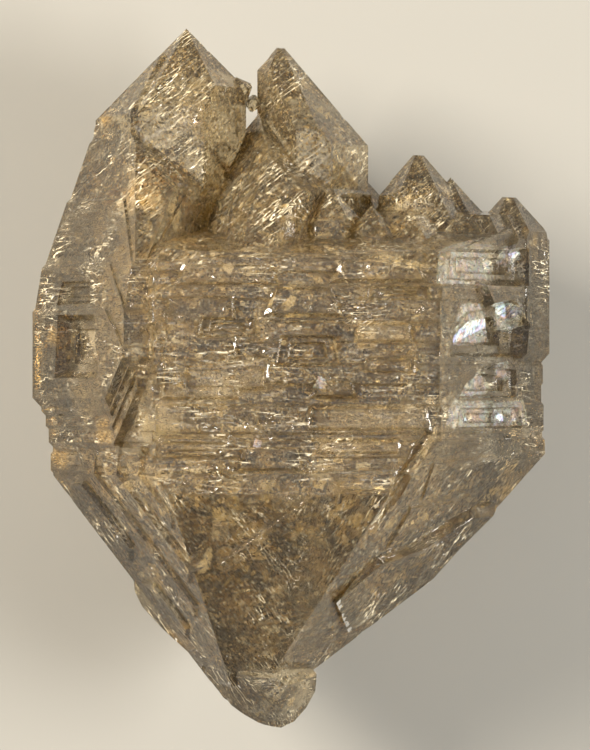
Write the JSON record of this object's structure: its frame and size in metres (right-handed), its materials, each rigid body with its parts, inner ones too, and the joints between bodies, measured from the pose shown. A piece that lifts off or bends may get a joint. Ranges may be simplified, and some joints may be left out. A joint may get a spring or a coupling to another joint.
{
  "type": "quartz crystal",
  "caption": "Smoky quartz crystal lying on its back face: a doubly terminated, ledged body with a broken lower tip and a row of parallel points along its top.",
  "frame": {"origin": "middle of the bounding box in X and Y, at the level of the back prism face that the crystal lies on", "axes": "+Z out of the front prism face, away from the resting face; +Y along the c axis towards the upper points; +X to the right seen from the front"},
  "size_m": [0.0694, 0.094, 0.0445],
  "materials": {
    "smoky_quartz": "clear, glossy, faintly smoky brown, full of fractures"
  },
  "bodies": {
    "root": {"quartz_crystal": "smoky_quartz"}
  },
  "joints": []
}
